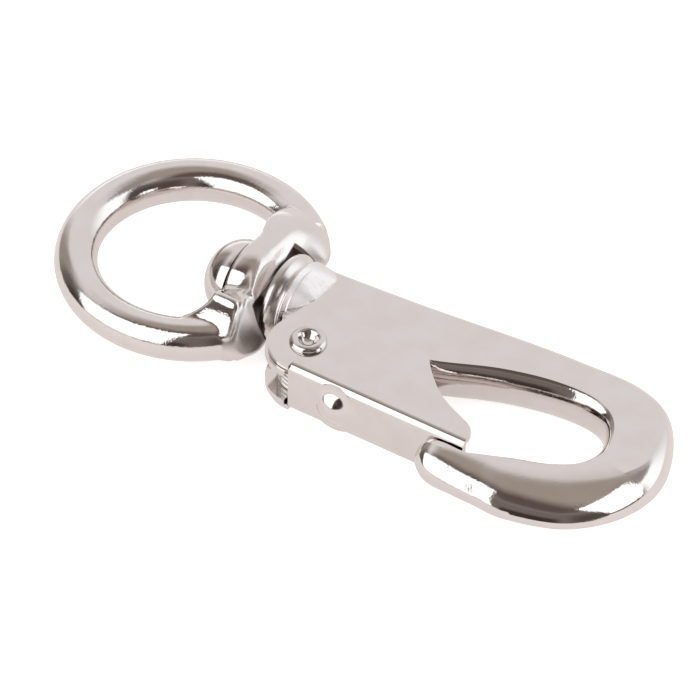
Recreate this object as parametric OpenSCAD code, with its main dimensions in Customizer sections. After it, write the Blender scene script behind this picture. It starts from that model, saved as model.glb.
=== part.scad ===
// Swivel snap hook of bright nickel-plated metal, lying on its side.
// The round eye turns freely on the hook's stud. A folded sheet gate, sprung shut by a
// torsion spring round its rivet, closes the mouth of the hook against the inside of its nose.
// Origin: centre of the eye. +X runs along the swivel axis to the hook, +Z is up, across the flats.

/* [Eye] */
// Inside diameter of the round eye
eye_hole_d = 25; // [22:0.5:30]
// Thickness of the eye's round bar
eye_bar_d = 5.7; // [5:0.1:6.4]
// Distance from the eye's centre to the flat inner face of its bridge
bridge_in = 7.7; // [6.5:0.1:8.5]
// Thickness of the bridge, from the stud head's seat to the collar's seat
bridge_t = 5.9; // [5:0.1:7]
// How far the two shoulders reach past the collar's seat, beside the collar
shoulder_h = 2; // [1.5:0.1:2.6]
// Diameter of the barrel-shaped boss round the swivel bore
boss_d = 11.4; // [10.6:0.1:12.4]

/* [Swivel stud] */
// Diameter of the stud's shank in the bridge
shank_d = 6.2; // [5:0.1:7]
// Diameter of the domed head that holds the eye on
head_d = 10.9; // [9:0.1:11.2]
// How far the head stands out of the bridge
head_h = 4.7; // [3.5:0.1:5.2]
// Diameter of the collar behind the bridge
collar_d = 12.6; // [11.6:0.1:13.4]
// Thickness of the collar, from its rounded front to the groove
collar_t = 1.9; // [1.4:0.1:2.2]
// Diameter of the groove between the collar and the neck
groove_d = 10.8; // [9:0.1:11]
// Gap between the shank and its bore, all round
swivel_fit = 0.08; // [0.04:0.01:0.1]
// End play of the eye between the head and the collar, at each side
swivel_play = 0.2; // [0.12:0.02:0.3]

/* [Hook] */
// Thickness of the hook between its ground flats
body_t = 6; // [5:0.1:7]
// How far the outer edge of the hook lies from the swivel axis beside the neck
back_y = 6.9; // [6.2:0.1:7.6]
// Radius of the bay's round end
bay_r = 6.9; // [6:0.1:7.6]
// Distance from the collar's seat to the centre of the bay's round end
bay_x = 44; // [42:0.5:48]
// Distance of the bay's centre from the swivel axis, towards the gate
bay_y = 3.8; // [3:0.1:4.6]
// Width of the bow, from the bay to the outside
bow_w = 7.8; // [6.5:0.1:9]
// Distance from the rivet to the heel of the bay, where the flat plate ends
heel_len = 15; // [14:0.1:16]
// Height of the slot between the two ears, which holds the spring
slot_h = 4.1; // [3.6:0.1:4.4]

/* [Gate] */
// Distance from the collar's seat to the rivet
pin_x = 9.6; // [9:0.1:11]
// Distance from the swivel axis to the rivet
pin_y = 8.7; // [8.2:0.1:9.2]
// Distance from the rivet to the outer face of the gate's web
gate_reach = 5.15; // [4.9:0.05:5.5]
// Thickness of the gate's sheet
gate_sheet = 0.8; // [0.6:0.05:1]
// Outside radius of the folds along the web
fold_r = 1.1; // [0.9:0.05:1.3]
// Length of the gate from the rivet to its free end
gate_len = 26.1; // [25:0.1:27.5]
// Length of the cheeks' deep part, from the rivet towards the nose
cheek_len = 12.1; // [11.5:0.1:13]
// How far the cheeks' deep part reaches past the rivet, towards the back of the hook
cheek_h = 7; // [6.5:0.1:7.4]
// Height of the cheeks at the gate's free end
lip_h = 1.5; // [1.2:0.1:2.5]
// How far the hook's nose reaches past the end of the gate
nose_lap = 5.8; // [4:0.1:7]
// Gap between each cheek and the hook's flats
cheek_gap = 0.1; // [0.06:0.01:0.2]
// Gap between the web's outer face and the nose
seat_gap = 0.3; // [0.2:0.05:0.4]
// Distance from the rivet to the thumb bump
bump_x = 7.1; // [6:0.1:14]
// Radius of the bump where it leaves the web
bump_r = 3.3; // [2.6:0.1:3.4]
// How far the bump stands out of the web
bump_h = 1.5; // [0.8:0.1:2]

/* [Rivet and spring] */
// Diameter of the rivet's shank
rivet_d = 3.1; // [2.4:0.1:3.4]
// Diameter of the rivet's heads
rivet_head_d = 4.9; // [4.2:0.1:5.4]
// Height of the rivet's heads
rivet_head_h = 0.75; // [0.5:0.05:0.9]
// Diameter of the rivet's hollow end
rivet_hole_d = 1.7; // [1:0.1:1.8]
// Gap between the rivet and the holes in the gate and the ears, all round
rivet_fit = 0.05; // [0.03:0.01:0.1]
// Thickness of the spring's wire
wire_d = 0.65; // [0.5:0.05:0.7]
// Length of the spring's two straight legs
leg_len = 8; // [5:0.5:10]

/* [Hidden] */
$fn = 64;
eps = 0.01;
far_off = 60;

// Eye
bar_r = eye_bar_d / 2;
ring_r = eye_hole_d / 2 + bar_r;
seat_x = bridge_in + bridge_t;
recess_gap = 0.6;

// Stud
head_r = head_d / 2;
rim_fall = 0.9;
groove_len = 0.7;
neck_x = swivel_play + collar_t + groove_len;
neck_fall = 2.9;
neck_back = 3.4;

// Hook, measured from the collar's seat
half_t = body_t / 2;
web_y = -pin_y - gate_reach;
nose_y = web_y - seat_gap;
gate_end_x = pin_x + gate_len;
nose_x = gate_end_x - nose_lap;
heel_x = pin_x + heel_len;
bay_top = bay_r - bay_y;

// Ears, gate and spring
ear_r = gate_reach + 0.4;
ear_in_r = gate_reach - gate_sheet - 0.15;
coil_r = gate_reach - gate_sheet - 0.35;
slot_end_y = -pin_y + coil_r + 0.55;
web_start = 0.2;
cheek_z = half_t + cheek_gap;
gate_h = 2 * (cheek_z + gate_sheet);

function unit(v) = v / norm(v);
function blend(a, b, c, d, t) =
    0.5 * (2 * b + (c - a) * t + (2 * a - 5 * b + 4 * c - d) * t * t + (3 * b - a - 3 * c + d) * t * t * t);
// A smooth run of values through the rows of a table
function smooth_rows(rows, steps) = [
    for (i = [0 : len(rows) - 2])
        for (k = [0 : steps - 1])
            blend(rows[max(i - 1, 0)], rows[i], rows[i + 1], rows[min(i + 2, len(rows) - 1)], k / steps),
    rows[len(rows) - 1]
];

// Side walls and end caps of a tube of rings with n points each
function tube_faces(rings, n) = concat(
    [for (i = [0 : rings - 2], j = [0 : n - 1]) [i * n + j, i * n + (j + 1) % n, (i + 1) * n + (j + 1) % n]],
    [for (i = [0 : rings - 2], j = [0 : n - 1]) [i * n + j, (i + 1) * n + (j + 1) % n, (i + 1) * n + j]],
    [[for (j = [n - 1 : -1 : 0]) j]],
    [[for (j = [0 : n - 1]) (rings - 1) * n + j]]
);

// The hook's limb, row by row from the neck, round the bow, to the tip of the nose:
// bay edge of the flat, outer edge, rounding towards the bay, rounding outside, share of the thickness
bay_c = [bay_x, -bay_y];
sharp = 0.1;
foot_x = gate_end_x + 0.73 * (bay_x - gate_end_x);
function on_bow(angle, r) = bay_c + r * [cos(angle), sin(angle)];
function limb_row(inner, outer, round_in, round_out, share = 1) =
    [inner[0], inner[1], outer[0], outer[1], round_in, round_out, share];
LIMB = [
    limb_row([neck_x + 0.6, -1.5], [neck_x + 0.2, back_y - 0.6], sharp, 1.6),
    limb_row([pin_x + 0.8, -1.5], [pin_x + 1.4, back_y], sharp, 1.8),
    limb_row([heel_x - 7.6, -3.2], [heel_x - 6.6, back_y + 0.5], sharp, 1.8),
    limb_row([heel_x - 1, bay_top - 5.5], [heel_x - 0.2, back_y + 1.1], 1.3, 1.8),
    limb_row([bay_x - 11.8, bay_top - 1.9], [bay_x - 12.2, back_y + 1.9], 1.5, 1.9),
    limb_row([bay_x - 4.4, bay_top - 0.1], [bay_x - 3.9, back_y + 2.4], 1.5, 1.9),
    limb_row(on_bow(76, bay_r), on_bow(68, bay_r + bow_w - 0.8), 1.4, 1.8),
    limb_row(on_bow(40, bay_r), on_bow(40, bay_r + bow_w - 0.1), 1.3, 1.4),
    limb_row(on_bow(0, bay_r), on_bow(5, bay_r + bow_w), 1.2, 2.3),
    limb_row(on_bow(-34, bay_r), on_bow(-25, bay_r + bow_w), 1.3, 4.4),
    limb_row(on_bow(-70, bay_r), on_bow(-56, bay_r + bow_w - 0.1), 1.5, 5.6),
    limb_row([foot_x, nose_y + 2.1], [foot_x + 3, nose_y - 4.4], 1.5, 5.0),
    limb_row([gate_end_x + 2.8, nose_y + 0.9], [gate_end_x + 4.2, nose_y - 4.4], 0.9, 4.5),
    limb_row([gate_end_x + 0.4, nose_y], [gate_end_x + 0.8, nose_y - 4.3], sharp, 4.0),
    limb_row([nose_x + 3.2, nose_y], [nose_x + 3, nose_y - 4], sharp, 3.1),
    limb_row([nose_x + 1.3, nose_y - 0.1], [nose_x + 1.0, nose_y - 2.9], sharp, 2.2, 0.86),
    limb_row([nose_x + 0.2, nose_y - 0.5], [nose_x + 0.1, nose_y - 1.8], sharp, 1.1, 0.45)
];
limb_steps = 4;
edge_angle = 72;
side_steps = 8;

function swell(angle) = (cos(angle) - cos(edge_angle)) / (1 - cos(edge_angle));
function section(row) =
    let (inner = [row[0], row[1]], outer = [row[2], row[3]], across = unit(outer - inner))
    let (flat_end = outer - across * row[5], half = half_t * row[6])
    [
        for (k = [0 : side_steps])
            let (a = edge_angle * (1 - 2 * k / side_steps), p = flat_end + across * row[5] * swell(a))
            [p[0], p[1], half * sin(a) / sin(edge_angle)],
        for (k = [0 : side_steps])
            let (a = edge_angle * (2 * k / side_steps - 1), p = inner - across * row[4] * swell(a))
            [p[0], p[1], half * sin(a) / sin(edge_angle)]
    ];

module limb() {
    rings = [for (row = smooth_rows(LIMB, limb_steps)) section(row)];
    points = [for (ring = rings) for (p = ring) p];
    polyhedron(points, tube_faces(len(rings), 2 * side_steps + 2), convexity = 6);
}

// Everything beyond a plane across the swivel axis, on one side of it
module beyond_x(from, side = 1) {
    translate([from + (side < 0 ? -far_off : 0), -far_off / 2, -far_off / 2])
        cube(far_off);
}

// Everything below a plane across the rivet's axis
module below_z(z) {
    translate([-far_off / 2, -far_off / 2, z - far_off])
        cube(far_off);
}

// Barrel-shaped boss round the swivel bore, rounded off towards the collar.
// Each row is a share of the boss's radius and of the bridge's thickness.
BOSS = [[0.93, 0], [0.985, 0.12], [1, 0.25], [0.99, 0.4], [0.94, 0.56], [0.86, 0.72], [0.76, 0.87], [0.68, 1]];
module boss() {
    rotate([0, 90, 0])
        rotate_extrude($fn = 40)
            polygon(concat(
                [[0, bridge_in]],
                [for (b = BOSS) [b[0] * boss_d / 2, bridge_in + b[1] * bridge_t]],
                [[0, seat_x]]
            ));
}

// Bridge across the eye, falling from the boss to the ring's bar on both sides
module bridge() {
    hull() {
        boss();
        for (side = [-1, 1]) {
            translate([ring_r * cos(52), side * ring_r * sin(52), 0])
                sphere(r = bar_r - 0.5, $fn = 32);
            translate([(ring_r - 1) * cos(35), side * (ring_r - 1) * sin(35), 0])
                sphere(r = bar_r + 1.05, $fn = 36);
        }
    }
}

module swivel_eye() {
    color("silver")
        difference() {
            union() {
                rotate_extrude()
                    translate([ring_r, 0])
                        circle(r = bar_r, $fn = 32);
                difference() {
                    bridge();
                    intersection() {
                        cylinder(r = eye_hole_d / 2 - 1.2, h = far_off, center = true);
                        beyond_x(bridge_in, -1);
                    }
                }
            }
            rotate([0, 90, 0])
                cylinder(d = shank_d + 2 * swivel_fit, h = far_off);
            translate([seat_x, 0, 0])
                rotate([0, 90, 0])
                    cylinder(d = collar_d + 2 * recess_gap, h = far_off);
            beyond_x(seat_x + shoulder_h);
        }
}

// Half outline of the collar: rounded in front, and falling to the groove behind its rim
module collar_profile() {
    rim = collar_d / 2;
    polygon([
        [0, 0], [rim - rim_fall, 0], [rim - 0.3 * rim_fall, 0.12 * collar_t], [rim, 0.35 * collar_t],
        [rim, 0.55 * collar_t], [rim - 0.2 * rim_fall, 0.75 * collar_t], [rim - 0.7 * rim_fall, collar_t],
        [0, collar_t]
    ]);
}

// Domed head, shank, collar, groove and neck, all round the swivel axis
module stud() {
    head_x = bridge_in - swivel_play;
    collar_x = seat_x + swivel_play;
    rotate([0, 90, 0]) {
        translate([0, 0, head_x])
            rotate_extrude()
                polygon(concat(
                    [[0, 0]],
                    [for (k = [0 : 18]) [head_r * cos(5 * k), -head_h * sin(5 * k)]]
                ));
        translate([0, 0, head_x - 1])
            cylinder(d = shank_d, h = collar_x - head_x + 2);
        translate([0, 0, collar_x])
            rotate_extrude()
                collar_profile();
        translate([0, 0, collar_x + collar_t / 2])
            cylinder(d = groove_d, h = collar_t / 2 + groove_len + 1);
    }
    neck();
}

// Neck: a round shoulder that falls to the flats in a cone, wider towards the back of the hook
module neck() {
    translate([seat_x + neck_x, 0, 0])
        hull() {
            neck_disc([0, 0], half_t + 3.1);
            neck_disc([neck_fall, 0], half_t);
            neck_disc([neck_fall + 0.3, neck_back], half_t);
        }
}

// Thin disc across the swivel axis, at a place in the hook's plane
module neck_disc(place, r) {
    translate([place[0], place[1], 0])
        rotate([0, 90, 0])
            cylinder(r = r, h = 0.1, $fn = 64);
}

// Outline of one ear: round the rivet, cut back where the gate's web passes
module ear_outline() {
    translate([pin_x, -pin_y]) {
        circle(r = ear_in_r);
        intersection() {
            circle(r = ear_r);
            translate([web_start - 0.1 - far_off, -far_off / 2])
                square(far_off);
        }
    }
}

// Flat middle of the hook, between the neck, the ears and the heel of the bay
module plate_outline() {
    ear_outline();
    polygon([
        [neck_x + 0.4, -3.5], [pin_x - ear_r, -pin_y], [pin_x + ear_in_r, -pin_y],
        [heel_x - 6.4, -5.4], [heel_x, bay_top - 4.3], [heel_x, 2.5], [6, 3.5], [4, 1]
    ]);
}

module hook_body() {
    color("silver")
        difference() {
            union() {
                stud();
                translate([seat_x, 0, 0]) {
                    limb();
                    translate([0, 0, -half_t])
                        linear_extrude(body_t)
                            plate_outline();
                }
            }
            translate([seat_x + pin_x, -pin_y, 0])
                cylinder(d = rivet_d + 2 * rivet_fit, h = far_off, center = true);
            translate([seat_x + pin_x - ear_r - 1, slot_end_y - far_off, -slot_h / 2])
                cube([ear_r + heel_len - 1.5, far_off, slot_h]);
        }
}

// Section of the gate's channel, filled: a web with two rounded folds and two cheeks
module filled_channel(inset) {
    r = max(fold_r - inset, 0.1);
    z = gate_h / 2 - inset;
    depth = far_off / 2;
    translate([inset + r, -z])
        square([depth, 2 * z]);
    translate([inset, r - z])
        square([depth, 2 * (z - r)]);
    for (side = [-1, 1])
        translate([inset + r, side * (z - r)])
            circle(r = r);
}

module channel_profile() {
    difference() {
        filled_channel(0);
        filled_channel(gate_sheet);
    }
}

// Outline of the cheeks, measured from the rivet: deep over the ears, then falling in a
// curve to the low lip beside the nose. The curve's points are shares of its length and height.
CHEEK_FALL = [
    [0.008, 0.063], [0.048, 0.14], [0.119, 0.198], [0.254, 0.266], [0.381, 0.333],
    [0.5, 0.411], [0.627, 0.527], [0.73, 0.643], [0.833, 0.778], [0.929, 0.932]
];
module cheek_outline() {
    lip_y = lip_h - gate_reach;
    fall = [cheek_len + 1.4 - gate_len, cheek_h - 0.3 - lip_y];
    circle(r = gate_reach);
    polygon(concat(
        [[0, gate_reach], [0, -gate_reach], [gate_len, -gate_reach], [gate_len, lip_y]],
        [for (p = CHEEK_FALL) [gate_len + p[0] * fall[0], lip_y + p[1] * fall[1]]],
        [
            [gate_len + fall[0], lip_y + fall[1]], [cheek_len, cheek_h],
            [0.3 * cheek_len, 0.93 * cheek_h], [0.16 * cheek_len, 0.845 * cheek_h]
        ]
    ));
}

// One cheek's rear end, which is flat round the rivet
module cheek_blank(side) {
    mid_z = side * (cheek_z + gate_sheet / 2);
    translate([-far_off / 2, -far_off / 2, mid_z - gate_sheet / 2])
        cube([far_off / 2 + web_start + eps, far_off, gate_sheet]);
}

// Thumb bump pressed out of the web, or the hollow behind it
bump_ball_r = (bump_r * bump_r + bump_h * bump_h) / (2 * bump_h);
module bump(r) {
    intersection() {
        translate([bump_x, -gate_reach - bump_h + bump_ball_r, 0])
            sphere(r = r);
        translate([bump_x - far_off / 2, -gate_reach + gate_sheet / 2 - far_off, -far_off / 2])
            cube(far_off);
    }
}

module gate() {
    color("gainsboro")
        translate([seat_x + pin_x, -pin_y, 0])
            difference() {
                union() {
                    intersection() {
                        union() {
                            translate([web_start, -gate_reach, 0])
                                rotate([90, 0, 90])
                                    linear_extrude(far_off)
                                        channel_profile();
                            for (side = [-1, 1])
                                cheek_blank(side);
                        }
                        translate([0, 0, -gate_h])
                            linear_extrude(2 * gate_h)
                                cheek_outline();
                    }
                    bump(bump_ball_r);
                }
                bump(bump_ball_r - gate_sheet);
                cylinder(d = rivet_d + 2 * rivet_fit, h = far_off, center = true);
            }
}

// Torsion spring: a coil round the rivet, one leg along the web and one along the slot's end
coil_turns = 4.5;
coil_steps = 20;
wire_sides = 8;
wire_r = wire_d / 2;
coil_mid_r = coil_r - wire_r;
coil_pitch = (slot_h - 0.15 - wire_d) / coil_turns;
coil_half = coil_pitch * coil_turns / 2;
leg_gap = 0.04;
web_leg_y = -gate_reach + gate_sheet + leg_gap + wire_r;
slot_leg_y = pin_y + slot_end_y - leg_gap - wire_r;
spring_path = [
    [leg_len, web_leg_y, -coil_half],
    [leg_len / 2, (web_leg_y - coil_mid_r) / 2, -coil_half],
    for (k = [0 : coil_turns * coil_steps])
        let (a = -90 - 360 * k / coil_steps)
        [coil_mid_r * cos(a), coil_mid_r * sin(a), coil_pitch * k / coil_steps - coil_half],
    [leg_len / 2, (slot_leg_y + coil_mid_r) / 2, coil_half],
    [leg_len, slot_leg_y, coil_half]
];
function along(path, i) = unit(path[min(i + 1, len(path) - 1)] - path[max(i - 1, 0)]);
function wire_ring(path, i) =
    let (t = along(path, i), side = unit(cross(t, [0, 0, 1])), up = cross(side, t))
    [for (j = [0 : wire_sides - 1])
        let (a = 360 * j / wire_sides) path[i] + wire_r * (side * cos(a) + up * sin(a))];

module gate_spring() {
    points = [for (i = [0 : len(spring_path) - 1]) for (p = wire_ring(spring_path, i)) p];
    color("dimgray")
        translate([seat_x + pin_x, -pin_y, 0])
            polyhedron(points, tube_faces(len(spring_path), wire_sides), convexity = 10);
}

// Half outline of the rivet's rolled end, above the cheek
module rolled_profile() {
    roll_x = rivet_head_d / 2 - rivet_head_h;
    intersection() {
        union() {
            translate([roll_x, 0])
                circle(r = rivet_head_h);
            square([roll_x, rivet_head_h * 0.6]);
        }
        square([rivet_head_d, rivet_head_h]);
    }
}

// Semi-tubular rivet: rolled, dished end on top and a low domed head below
module gate_rivet() {
    grip_z = cheek_z + gate_sheet + 0.05;
    dome_r = (rivet_head_d * rivet_head_d / 4 + rivet_head_h * rivet_head_h) / (2 * rivet_head_h);
    color("silver")
        translate([seat_x + pin_x, -pin_y, 0]) {
            difference() {
                union() {
                    translate([0, 0, -grip_z - eps])
                        cylinder(d = rivet_d, h = 2 * grip_z + 2 * eps);
                    translate([0, 0, grip_z])
                        rotate_extrude()
                            rolled_profile();
                }
                translate([0, 0, grip_z - 2])
                    cylinder(d = rivet_hole_d, h = 4);
            }
            intersection() {
                translate([0, 0, dome_r - grip_z - rivet_head_h])
                    sphere(r = dome_r);
                below_z(-grip_z);
            }
        }
}

swivel_eye();
hook_body();
gate();
gate_spring();
gate_rivet();
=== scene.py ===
# Looks of the swivel snap hook: bright nickel on cast and sheet metal, lying on a white table.
import math

import bmesh
import bpy
from mathutils import Euler, Matrix, Vector


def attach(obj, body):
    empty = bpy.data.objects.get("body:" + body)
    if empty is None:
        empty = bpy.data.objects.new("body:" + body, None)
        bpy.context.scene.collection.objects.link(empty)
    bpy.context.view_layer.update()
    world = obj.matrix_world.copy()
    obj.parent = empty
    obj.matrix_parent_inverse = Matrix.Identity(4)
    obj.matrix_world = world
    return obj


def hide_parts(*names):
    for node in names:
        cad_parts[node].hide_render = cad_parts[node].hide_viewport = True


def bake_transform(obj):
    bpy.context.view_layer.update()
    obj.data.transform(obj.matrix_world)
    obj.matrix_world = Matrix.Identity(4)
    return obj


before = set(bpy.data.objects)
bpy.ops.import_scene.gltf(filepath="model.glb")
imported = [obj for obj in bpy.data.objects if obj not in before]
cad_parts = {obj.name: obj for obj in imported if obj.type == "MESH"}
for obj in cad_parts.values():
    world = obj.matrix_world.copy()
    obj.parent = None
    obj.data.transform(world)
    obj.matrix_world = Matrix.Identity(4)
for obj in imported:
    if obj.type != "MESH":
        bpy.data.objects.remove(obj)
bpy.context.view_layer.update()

MM = 0.001


def mm(*values):
    return Vector(values) * MM


BAR_R = 2.85              # the ring's round bar
RING_R = 15.35            # the ring, to the middle of the bar
SEAT_X = 13.6             # where the collar meets the bridge
HALF_T = 3.0              # half the hook's thickness between its flats
CHEEK_Z = 3.1             # inner face of the gate's cheeks
SHEET = 0.8               # the gate's sheet
GATE_H = 7.8              # the gate over its cheeks
REACH = 5.15              # from the pin to the outside of the web
GATE_LEN = 26.1           # from the pin to the gate's free end
PIN_X, PIN_Y = 23.2, -8.7
PIN_BORE_R = 1.6
EAR_R = 5.55
EAR_IN_R = 4.2
SLOT_H = 4.1
SLOT_END = 4.55           # from the pin to the end of the slot, towards the back
STUD_BORE_R = 3.18
HEAD_X, HEAD_H, HEAD_R = 7.62, 4.82, 5.45
POCKET_R, POCKET_TURN = 6.95, 6.8


# ---------------------------------------------------------------- small workshop tools
def nothing_selected():
    if bpy.context.mode != "OBJECT":
        bpy.ops.object.mode_set(mode="OBJECT")
    bpy.ops.object.select_all(action="DESELECT")


def pick(piece):
    nothing_selected()
    piece.select_set(True)
    bpy.context.view_layer.objects.active = piece
    return piece


def named(name):
    piece = bpy.context.object
    piece.name = name
    piece.data.name = name
    return piece


def settle(piece):
    """The piece's place goes into its mesh, so its object sits at the origin."""
    pick(piece)
    bpy.ops.object.transform_apply(location=True, rotation=True, scale=True)
    return piece


def block(name, low, high):
    nothing_selected()
    size = Vector(high) - Vector(low)
    bpy.ops.mesh.primitive_cube_add(size=1, location=(Vector(low) + size / 2) * MM)
    piece = named(name)
    piece.scale = size * MM
    return settle(piece)


def rod(name, x, y, z, r, length, axis="Z", segments=96):
    nothing_selected()
    turn = {"Z": (0, 0, 0), "X": (0, math.pi / 2, 0), "Y": (math.pi / 2, 0, 0)}[axis]
    bpy.ops.mesh.primitive_cylinder_add(
        vertices=segments, radius=r * MM, depth=length * MM, location=mm(x, y, z), rotation=turn)
    return settle(named(name))


def turned(name, profile, place, axis="Z", steps=128):
    """A piece turned on a lathe: profile is (radius, height along the axis) from end to end."""
    nothing_selected()
    bpy.ops.mesh.primitive_plane_add(size=MM, location=(0, 0, 0))
    piece = named(name)
    mesh = bmesh.new()
    verts = [mesh.verts.new((r * MM, 0, h * MM)) for r, h in profile]
    for a, b in zip(verts, verts[1:]):
        mesh.edges.new((a, b))
    mesh.to_mesh(piece.data)
    mesh.free()
    pick(piece)
    bpy.ops.object.mode_set(mode="EDIT")
    bpy.ops.mesh.select_all(action="SELECT")
    bpy.ops.mesh.spin(steps=steps, angle=2 * math.pi, center=(0, 0, 0), axis=(0, 0, 1))
    bpy.ops.mesh.select_all(action="SELECT")
    bpy.ops.mesh.remove_doubles(threshold=1e-7)
    bpy.ops.mesh.normals_make_consistent(inside=False)
    bpy.ops.object.mode_set(mode="OBJECT")
    turn = {"Z": Matrix.Identity(4), "X": Matrix.Rotation(math.pi / 2, 4, "Y")}[axis]
    piece.data.transform(Matrix.Translation(mm(*place)) @ turn)
    return piece


def hull(name, *pieces):
    """One rounded body stretched over several pieces."""
    piece = join(name, *pieces)
    bpy.ops.object.mode_set(mode="EDIT")
    bpy.ops.mesh.select_all(action="SELECT")
    bpy.ops.mesh.convex_hull()
    bpy.ops.object.mode_set(mode="OBJECT")
    return piece


def join(name, *pieces):
    nothing_selected()
    for piece in pieces:
        piece.select_set(True)
    bpy.context.view_layer.objects.active = pieces[0]
    if len(pieces) > 1:
        bpy.ops.object.join()
    return named(name)


def apply_all(piece):
    pick(piece)
    for modifier in list(piece.modifiers):
        bpy.ops.object.modifier_apply(modifier=modifier.name)
    return piece


def cast(piece, grain, passes, factor=0.5):
    """Runs overlapping bodies into one skin with soft fillets, as a casting has."""
    m = piece.modifiers.new("skin", "REMESH")
    m.mode = "VOXEL"
    m.voxel_size = grain * MM
    m.adaptivity = 0
    s = piece.modifiers.new("soften", "SMOOTH")
    s.factor = factor
    s.iterations = passes
    return apply_all(piece)


def combine(piece, tool, how="DIFFERENCE"):
    m = piece.modifiers.new("cut", "BOOLEAN")
    m.operation = how
    m.object = tool
    m.solver = "EXACT"
    apply_all(piece)
    bpy.data.objects.remove(tool)
    return piece


def clean(piece, distance=0.002):
    pick(piece)
    bpy.ops.object.mode_set(mode="EDIT")
    bpy.ops.mesh.select_all(action="SELECT")
    bpy.ops.mesh.remove_doubles(threshold=distance * MM)
    bpy.ops.mesh.dissolve_degenerate(threshold=distance * MM)
    bpy.ops.mesh.normals_make_consistent(inside=False)
    bpy.ops.object.mode_set(mode="OBJECT")
    return piece


def break_edges(piece, width, angle=35, segments=3):
    m = piece.modifiers.new("broken edges", "BEVEL")
    m.width = width * MM
    m.segments = segments
    m.limit_method = "ANGLE"
    m.angle_limit = math.radians(angle)
    m.miter_outer = "MITER_ARC"
    m.harden_normals = False
    return apply_all(piece)


def smooth_shaded(piece, angle):
    pick(piece)
    bpy.ops.object.shade_smooth_by_angle(angle=math.radians(angle))
    return piece


def prism(name, outline, low, high):
    """An outline in the plan, extruded from one height to another."""
    nothing_selected()
    bpy.ops.mesh.primitive_plane_add(size=MM)
    piece = named(name)
    mesh = bmesh.new()
    face = mesh.faces.new([mesh.verts.new((x * MM, y * MM, low * MM)) for x, y in outline])
    mesh.to_mesh(piece.data)
    mesh.free()
    pick(piece)
    bpy.ops.object.mode_set(mode="EDIT")
    bpy.ops.mesh.select_all(action="SELECT")
    bpy.ops.mesh.extrude_region_move(TRANSFORM_OT_translate={"value": (0, 0, (high - low) * MM)})
    bpy.ops.mesh.select_all(action="SELECT")
    bpy.ops.mesh.normals_make_consistent(inside=False)
    bpy.ops.object.mode_set(mode="OBJECT")
    return piece


def arc(cx, cy, r, start, end, steps=24):
    return [
        (cx + r * math.cos(math.radians(start + (end - start) * k / steps)),
         cy + r * math.sin(math.radians(start + (end - start) * k / steps)))
        for k in range(steps + 1)
    ]


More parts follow.
